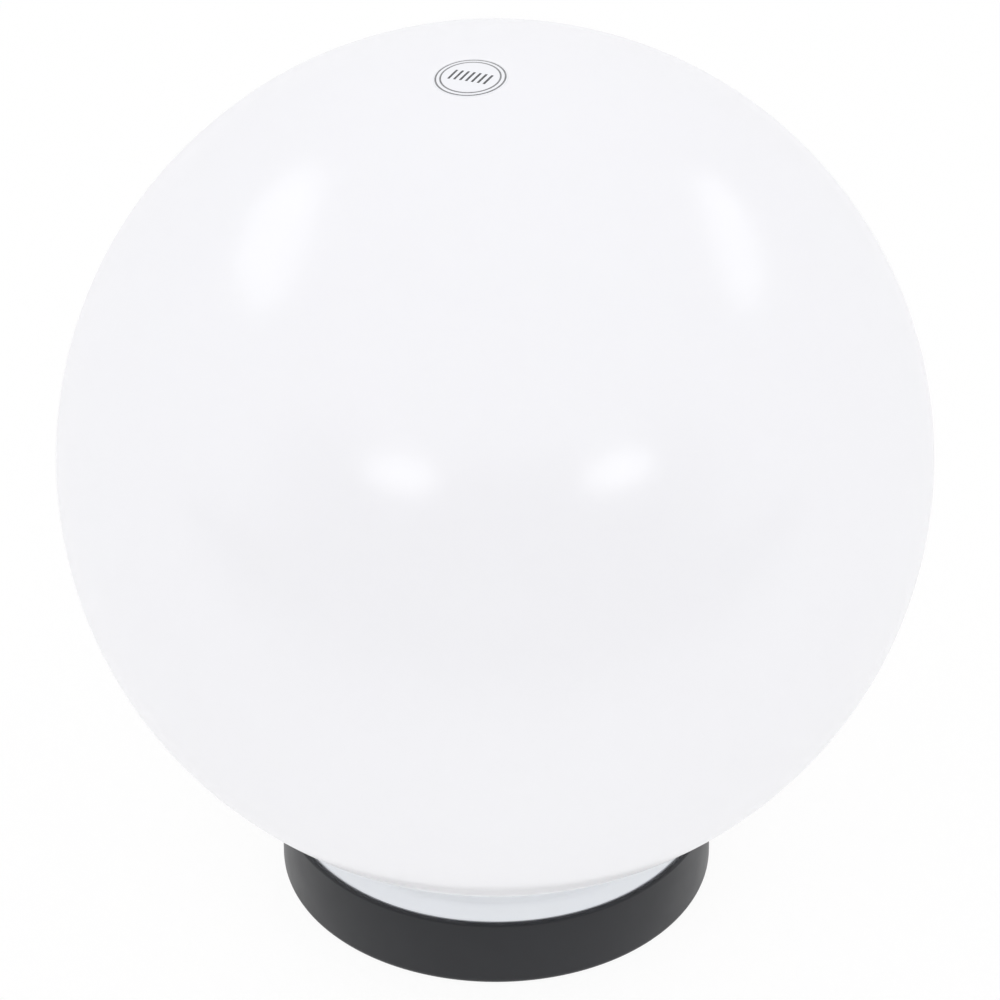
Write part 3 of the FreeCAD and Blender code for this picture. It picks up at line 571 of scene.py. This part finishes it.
def base_wall():
    """The section from the groove in the foot, up the outside and down to the floor."""
    inner = BASE_RADIUS - BASE_WALL
    round_low = BASE_HEIGHT - RIM_ROUND
    pen = Pen(GROOVE_IN, 0)
    pen.line(GROOVE_IN, GROOVE_DEPTH).line(GROOVE_OUT, GROOVE_DEPTH).line(GROOVE_OUT, 0)
    pen.line(BASE_RADIUS - FOOT_ROUND, 0).arc((BASE_RADIUS - FOOT_ROUND, FOOT_ROUND), 90)
    pen.line(BASE_RADIUS, round_low).arc((BASE_RADIUS - RIM_ROUND, round_low), 90)
    pen.line(inner + RIM_ROUND, BASE_HEIGHT).arc((inner + RIM_ROUND, round_low), 90)
    pen.line(inner, LEDGE_TOP).line(LEDGE_RADIUS, LEDGE_TOP).line(LEDGE_RADIUS, BASE_FLOOR)
    return spin_round(pen)


def make_base():
    mesh = base_wall()
    under, over = circle(mesh, GROOVE_IN, 0), circle(mesh, LEDGE_RADIUS, BASE_FLOOR)
    for fixing in FIXINGS:
        rings = bored_hole(mesh, FIXING_HOLE, 0, BASE_FLOOR, around(*fixing))
        under += rings[0]
        over += rings[1]
    recess = bored_hole(mesh, INLET_RECESS, 0, INLET_STEP, INLET)
    hole = bored_hole(mesh, INLET_HOLE, INLET_STEP, BASE_FLOOR, INLET)
    plate(mesh, recess[1] + hole[0])
    plate(mesh, under + recess[0])
    plate(mesh, over + hole[1])
    for (radius, top), places in ((COLLAR_BOSS, COLLAR_BOSSES), (BRACKET_BOSS, BRACKET_BOSSES)):
        for place in places:
            boss(mesh, radius, BASE_FLOOR - BOSS_ROOT, top, around(*place))
    return finish_mesh("base_cup", mesh)


base = make_base()


# %% [markdown]
# ## Satin black
# The black is satin: the mould was etched, so the light spreads a little on every face.
# The grain is far too fine to see singly. It could be left to roughness alone, but a very
# low bump breaks up the edge of each reflection, and clouds in the gloss keep the wall
# from looking like a flat colour.

# %% Satin black
def satin_black():
    finish = Finish("satin_black", ior=1.48)
    cloud = finish.noise(0.03, detail=5)
    finish.feed(base_color=finish.mix(cloud, colour(18, 20, 26), colour(23, 25, 31)))
    finish.feed(roughness=finish.noise(0.012, detail=4) * 0.12 + 0.36)
    finish.bump(finish.noise(0.0006, detail=3), 0.00003, 0.6)
    return finish


dress(base, "base", ["base_housing"], satin_black())


# %% [markdown]
# ## White collar
# The collar is a glossy white dish. A land round its edge falls very slightly outwards and
# catches the light. A soft shoulder leads from it into a hollow, which is darker, in the
# shade of the ball. In the middle a socket takes the ball's neck. The hollow could be
# modelled as a few flat rings, but in gloss each would show as a step, so shoulder and
# hollow are two long bows that flow into each other.

# %% Collar
COLLAR_RADIUS, COLLAR_EDGE, COLLAR_ROUND, COLLAR_FOOT = 73.1, 25.6, 1, 19.8
COLLAR_LAND, LAND_RISE, SHOULDER_BOW, SHOULDER_END = 66.5, 0.3, 12, (62.6, 25.45)
DISH_BOW, DISH_IN, DISH_TOP, DISH_UNDER, DISH_RIB = 48, 50.5, 23.6, 20, 2
SOCKET_RADIUS, SOCKET_WALL, SOCKET_LEAD = 45.4, 3, 1.2
SEAT_RADIUS, SEAT_TOP, SEAT_UNDER = 31, 11.5, 9
LEDGE_GAP = 0.4


def make_collar():
    outside, skirt = SOCKET_RADIUS + SOCKET_WALL, LEDGE_RADIUS - LEDGE_GAP
    round_low = COLLAR_EDGE - COLLAR_ROUND
    pen = Pen(SEAT_RADIUS, SEAT_UNDER).line(outside, SEAT_UNDER)
    pen.line(outside, DISH_UNDER - DISH_RIB).line(outside + DISH_RIB, DISH_UNDER)
    pen.line(skirt, DISH_UNDER).line(skirt, COLLAR_FOOT).line(COLLAR_RADIUS, COLLAR_FOOT)
    pen.line(COLLAR_RADIUS, round_low).arc((COLLAR_RADIUS - COLLAR_ROUND, round_low), 90)
    pen.line(COLLAR_LAND, COLLAR_EDGE + LAND_RISE).bow(*SHOULDER_END, SHOULDER_BOW, 10)
    pen.bow(DISH_IN, DISH_TOP, -DISH_BOW, 24)
    pen.line(SOCKET_RADIUS + SOCKET_LEAD, DISH_TOP).line(SOCKET_RADIUS, DISH_TOP - SOCKET_LEAD)
    pen.line(SOCKET_RADIUS, SEAT_TOP).line(SEAT_RADIUS, SEAT_TOP).close()
    return finish_mesh("collar_dish", spin_round(pen))


def white_gloss(name, low, high, roughness=0.16):
    """Moulded white plastic: faint clouds in the tone and a soft polish."""
    finish = Finish(name, ior=1.5)
    finish.feed(base_color=finish.mix(finish.noise(0.02, detail=3), low, high))
    finish.feed(roughness=finish.noise(0.008, detail=4) * 0.08 + roughness)
    finish.bump(finish.noise(0.015, detail=2), 0.00005)
    return finish


dress(make_collar(), "base", ["collar"],
      white_gloss("collar_white", colour(248, 251, 254), colour(251, 254, 255)))


# %% [markdown]
# ## Rubber and silicone
# The ring between collar and base and the one under the neck are clear silicone. Their light
# grey is partly the silicone and partly a painted highlight: it stands for the light caught
# along the base's rim, where the collar meets it. The ring in the foot and the cable inlet
# are black rubber with a matt skin. One finish serves both, with more or less light passing
# through. Only the ring round the collar shows from outside, as a thin grey line that is
# partly painted highlight, so it alone is turned again. The others keep their packed solids
# and could be turned in the same way.

# %% Seals
SEAL_THICK, SEAL_LIP, SEAL_GAP, SEAL_TOP, SEAL_ROUND = 0.8, 0.4, 0.05, 26, 0.2


def make_collar_seal():
    """A flat ring on the ledge, with a thin lip up between the collar and the base."""
    inside, outside = LEDGE_RADIUS + SEAL_GAP, BASE_RADIUS - BASE_WALL - SEAL_GAP
    lip, round_low = outside - SEAL_LIP, SEAL_TOP - SEAL_ROUND
    pen = Pen(inside, LEDGE_TOP).line(outside, LEDGE_TOP)
    pen.line(outside, round_low).arc((outside - SEAL_ROUND, round_low), 90)
    pen.arc((lip + SEAL_ROUND, round_low), 90).line(lip, LEDGE_TOP + SEAL_THICK)
    pen.line(inside, LEDGE_TOP + SEAL_THICK).close()
    return finish_mesh("seal_ring", spin_round(pen))


def soft_seal(name, low, high, clear=0.0):
    finish = Finish(name, ior=1.42, transmission_weight=clear)
    finish.feed(base_color=finish.mix(finish.noise(0.006, detail=3), low, high))
    finish.feed(roughness=finish.noise(0.003, detail=3) * 0.2 + 0.45)
    finish.bump(finish.noise(0.0008, detail=2), 0.00003, 0.5)
    return finish


# This light grey is partly the silicone's own and partly a painted highlight along the rim.
SILICONE_AND_RIM_HIGHLIGHT = soft_seal("clear_silicone", colour(150, 152, 158), colour(168, 170, 176), 0.2)
BLACK_RUBBER = soft_seal("black_rubber", colour(30, 30, 31), colour(44, 44, 45))
dress(make_collar_seal(), "base", ["collar_seal"], SILICONE_AND_RIM_HIGHLIGHT)
paint("neck_seal", SILICONE_AND_RIM_HIGHLIGHT)
for node in ("foot_seal", "cable_grommet"):
    paint(node, BLACK_RUBBER)


# %% [markdown]
# ## Metals
# Screws, clips and bracket are plated or rolled steel. Rolling leaves fine lines along the
# strip and plating leaves small cloudy changes in gloss. Brass contacts are warmer and
# duller. Anisotropy could draw out the highlight on rolled strip, but it needs a direction
# on every face. Noise stretched along the part's height does nearly as well on triangles.

# %% Metals
def metal(name, low, high, roughness, grain=0.002, stretch=(1, 1, 1)):
    finish = Finish(name, metallic=1.0)
    tone = finish.noise(grain * 4, detail=4)
    lines = finish.noise(grain, detail=5, stretch=stretch)
    finish.feed(base_color=finish.mix(tone, low, high))
    finish.feed(roughness=lines * 0.22 + roughness)
    finish.bump(lines, 0.00001, 0.6)
    return finish


ZINC = metal("zinc_plate", colour(168, 170, 172), colour(196, 198, 199), 0.28, 0.0012)
SPRING_STEEL = metal("rolled_steel", colour(176, 177, 178), colour(206, 207, 207), 0.2,
                     0.0006, (1, 1, 0.08))
BRASS = metal("contact_brass", colour(186, 152, 84), colour(212, 180, 112), 0.3)
NICKEL = metal("nickel_shell", colour(188, 184, 174), colour(214, 210, 200), 0.18, 0.0014)
METAL_NODES = (
    (ZINC, ("collar_screws", "bracket_screws", "lampholder_bracket", "lampholder_screws",
            "lampholder_nuts", "lampholder_terminal_screws", "terminal_screws",
            "terminal_block_screws")),
    (SPRING_STEEL, ("globe_clips",)),
    (BRASS, ("centre_contact", "shell_contact", "terminal_inserts", "earth_tag",
             "bulb_tip_contact")),
    (NICKEL, ("lampholder_shell", "bulb_cap")),
)
for finish, nodes in METAL_NODES:
    for node in nodes:
        paint(node, finish)


# %% [markdown]
# ## Porcelain
# The lampholder's body is porcelain: a clear glaze over a slightly speckled white. It could
# be one glossy white, but a rougher body under a smooth coat has the two highlights that a
# glaze has. The specks are where noise passes a limit. The body sits inside the ball and
# shows only when that is lifted, so its packed solid is kept.

# %% Porcelain
SPECK_LIMIT, SPECK_SHARE = 0.72, 0.25


def porcelain():
    finish = Finish("glazed_porcelain", ior=1.5, coat_weight=0.6, coat_roughness=0.06)
    speck = finish.noise(0.0011, detail=2).over(SPECK_LIMIT)
    body = finish.mix(finish.noise(0.012, detail=3), colour(232, 229, 221), colour(240, 238, 231))
    finish.feed(base_color=finish.mix(speck * SPECK_SHARE, body, colour(176, 168, 152)))
    finish.feed(roughness=finish.noise(0.006, detail=3) * 0.1 + 0.12)
    finish.bump(finish.noise(0.009, detail=2), 0.00012)
    return finish


paint("lampholder_body", porcelain())


# %% [markdown]
# ## Bulb and terminal block
# The bulb's diffuser is frosted, its base is satin white plastic, and the boards inside it
# are lacquered. The terminal block is nylon. Each could have a finish of its own, but all
# are smooth mouldings that differ only in tone and gloss, so the collar's finish serves.

# %% Bulb and terminal block
# node: (name of the finish, darker colour, lighter colour, roughness)
MOULDED = {
    "bulb_heatsink": ("bulb_base_white", (236, 236, 234), (241, 241, 239), 0.3),
    "bulb_dome": ("frosted_diffuser", (240, 240, 237), (245, 245, 243), 0.42),
    "bulb_led_board": ("board_white", (228, 228, 224), (236, 236, 233), 0.35),
    "bulb_led_chips": ("phosphor", (226, 196, 84), (238, 212, 106), 0.4),
    "bulb_driver_board": ("board_green", (36, 104, 58), (50, 122, 70), 0.3),
    "terminal_block": ("nylon", (222, 221, 212), (232, 231, 224), 0.4),
}
for node, (name, low, high, roughness) in MOULDED.items():
    paint(node, white_gloss(name, colour(*low), colour(*high), roughness))
paint("bulb_cap_insulator", soft_seal("cap_black", colour(24, 24, 26), colour(34, 34, 36)))


# %% [markdown]
# ## Wires
# Each wire has its usual colour in soft PVC: brown, blue, and green with a yellow stripe.
# The stripe could be a second thin solid, but it lies along the wire's upper side, so
# height alone divides the two colours.

# %% Wires
STRIPE_HEIGHT = 7.4


def insulation(name, low, high):
    finish = Finish(name, ior=1.48)
    finish.feed(base_color=finish.mix(finish.noise(0.004, detail=3), low, high))
    finish.feed(roughness=finish.noise(0.002, detail=3) * 0.15 + 0.32)
    finish.bump(finish.noise(0.0015, detail=2), 0.00003)
    return finish


def striped_insulation():
    finish = Finish("earth_insulation", roughness=0.38, ior=1.48)
    height = finish.axes(finish.place())[2]
    finish.feed(base_color=finish.mix(height.over(STRIPE_HEIGHT * MM), colour(48, 128, 58),
                                      colour(222, 200, 48)))
    finish.bump(finish.noise(0.0015, detail=2), 0.00003)
    return finish


paint("live_wire", insulation("live_brown", colour(96, 54, 34), colour(112, 66, 42)))
paint("neutral_wire", insulation("neutral_blue", colour(40, 84, 168), colour(52, 98, 184)))
paint("earth_wire", striped_insulation())


# %% [markdown]
# ## Studio light for three kinds of ray
# The photograph has a plain white ground. A real white floor under real lamps could give
# that only with so much light that the ball burned out. So floor and sky are plain white
# to the camera and to reflections, and keep their own softer light for everything else. In
# front of the light the paper ends and the room is dimmer. Only reflections see that: it
# darkens the ball's lower half a little, as in the photograph.

# %% Light by kind of ray
ROOM_LEVEL = 0.2
SEEN_WHITE = ("Is Camera Ray", "Is Glossy Ray", "Is Transmission Ray")


def shade(nodes, value, span, levels):
    """A value's place in a span, as a level between two."""
    names = ("Value", "From Min", "From Max", "To Min", "To Max")
    return nodes.add("ShaderNodeMapRange", {"interpolation_type": "SMOOTHSTEP"},
                     dict(zip(names, (value, *span, *levels))), output="Result")


def ray_flags(nodes):
    """1 for rays that see white, and 1 for reflections alone."""
    camera_ray, glossy, passing = nodes.several("ShaderNodeLightPath", SEEN_WHITE)
    held = {"operation": "ADD", "use_clamp": True}
    both = nodes.add("ShaderNodeMath", held, [camera_ray, glossy])
    return nodes.add("ShaderNodeMath", held, [both, passing]), glossy


print("reflections see the room in front at", ROOM_LEVEL, "of white")


# %% [markdown]
# ## Floor
# The floor is a large sheet just under the light. It shows nearly as its own white glow and
# keeps a small share of plain matt paper, so that the object's shadow stays on it. A shadow
# catcher would hide the sheet altogether, but reflections need it.

# %% Floor
FLOOR_HALF, FLOOR_DROP = 6, 0.2
PAPER_FRONT = (-0.75, -0.15)
GLOW_SHARE = 0.93


def studio_paper():
    material = bpy.data.materials.new("studio_floor")
    material.use_nodes = True
    nodes = Nodes(material.node_tree)
    nodes.tree.nodes.remove(nodes.tree.nodes["Principled BSDF"])
    paper = nodes.add("ShaderNodeBsdfDiffuse", {}, {"Color": (0.95, 0.95, 0.93, 1)})
    seen, glossy = ray_flags(nodes)
    dimmed = shade(nodes, nodes.axes(nodes.place())[1], PAPER_FRONT, (1 - ROOM_LEVEL, 0))
    glow = nodes.add("ShaderNodeEmission", {},
                     {"Color": (1, 1, 1, 1), "Strength": 1 - glossy * dimmed})
    share = nodes.add("ShaderNodeMath", {"operation": "MULTIPLY", "use_clamp": True},
                      [seen, GLOW_SHARE])
    nodes.show(nodes.mix_shaders(share, paper, glow))
    return material


def make_floor():
    mesh = bmesh.new()
    bmesh.ops.create_grid(mesh, x_segments=2, y_segments=2, size=FLOOR_HALF)
    floor = finish_mesh("studio_floor", mesh)
    floor.data.transform(Matrix.Translation((0, 0, -FLOOR_DROP * MM)))
    floor.data.materials.append(studio_paper())


make_floor()


# %% [markdown]
# ## Sky
# Even light comes from all round and is a little brighter overhead. It could be one large
# soft box, but a ball shows every lamp as a picture, and the photograph has only four. To
# camera and reflections the sky is white, with the dimmer room low in front.

# %% Sky
HORIZON_LEVEL, ZENITH_LEVEL = 0.73, 1.08
WALL_TOP, WALL_FRONT = (0.42, 0.62), (-0.8, -0.2)


def make_sky():
    world = bpy.data.worlds.new("studio_sky")
    world.use_nodes = True
    bpy.context.scene.world = world
    nodes = Nodes(world.node_tree)
    _, forward, up = nodes.axes(nodes.add("ShaderNodeTexCoord", output="Generated"))
    seen, glossy = ray_flags(nodes)
    rise = nodes.add("ShaderNodeMapRange", {}, {
        "Value": up, "To Min": HORIZON_LEVEL, "To Max": ZENITH_LEVEL}, output="Result")
    lit = nodes.add("ShaderNodeBackground", {},
                    {"Color": (0.99, 0.985, 1, 1), "Strength": rise})
    low = shade(nodes, up, WALL_TOP, (1, 0))
    wall = low * shade(nodes, forward, WALL_FRONT, (1 - ROOM_LEVEL, 0))
    white = nodes.add("ShaderNodeBackground", {},
                      {"Color": (1, 1, 1, 1), "Strength": 1 - glossy * wall})
    nodes.show(nodes.mix_shaders(seen, lit, white), "World Output")
    print("sky: from", HORIZON_LEVEL, "at the horizon to", ZENITH_LEVEL, "overhead")


make_sky()


# %% [markdown]
# ## Lamps
# Four soft boxes show in the ball as four pictures: two tall ones from boxes at the sides
# and behind, and two small bright ones from boxes in front. Point lamps could light it as
# well, but would show as sparks, so each is an oval sheet of light. It stands where its
# picture says.

# %% Lamps
LAMP_DISTANCE = 1.6
# name: (turn from the front towards the right, height above level, width, height, watts)
LAMPS = {
    "side_box_left": (-114, 40, 1.05, 0.5, 1.75),
    "side_box_right": (115, 35, 0.95, 0.36, 1.2),
    "front_box_left": (-26, 27.5, 0.54, 0.24, 0.95),
    "front_box_right": (34, 26, 0.52, 0.24, 0.95),
}


def make_lamp(name, turn, rise, width, height, watts):
    lamp = bpy.data.lights.new(name, "AREA")
    lamp.shape = "ELLIPSE"
    lamp.size, lamp.size_y = width, height
    lamp.energy = watts
    holder = bpy.data.objects.new(name, lamp)
    turn, rise = math.radians(turn), math.radians(rise)
    out = Vector((math.sin(turn) * math.cos(rise), -math.cos(turn) * math.cos(rise),
                  math.sin(rise)))
    holder.location = GLOBE_CENTRE + out * LAMP_DISTANCE
    holder.rotation_euler = out.to_track_quat("Z", "Y").to_euler()
    bpy.context.scene.collection.objects.link(holder)


for name, sizes in LAMPS.items():
    make_lamp(name, *sizes)
bpy.context.scene.view_settings.view_transform = "Standard"
print("lamps:", ", ".join(LAMPS))
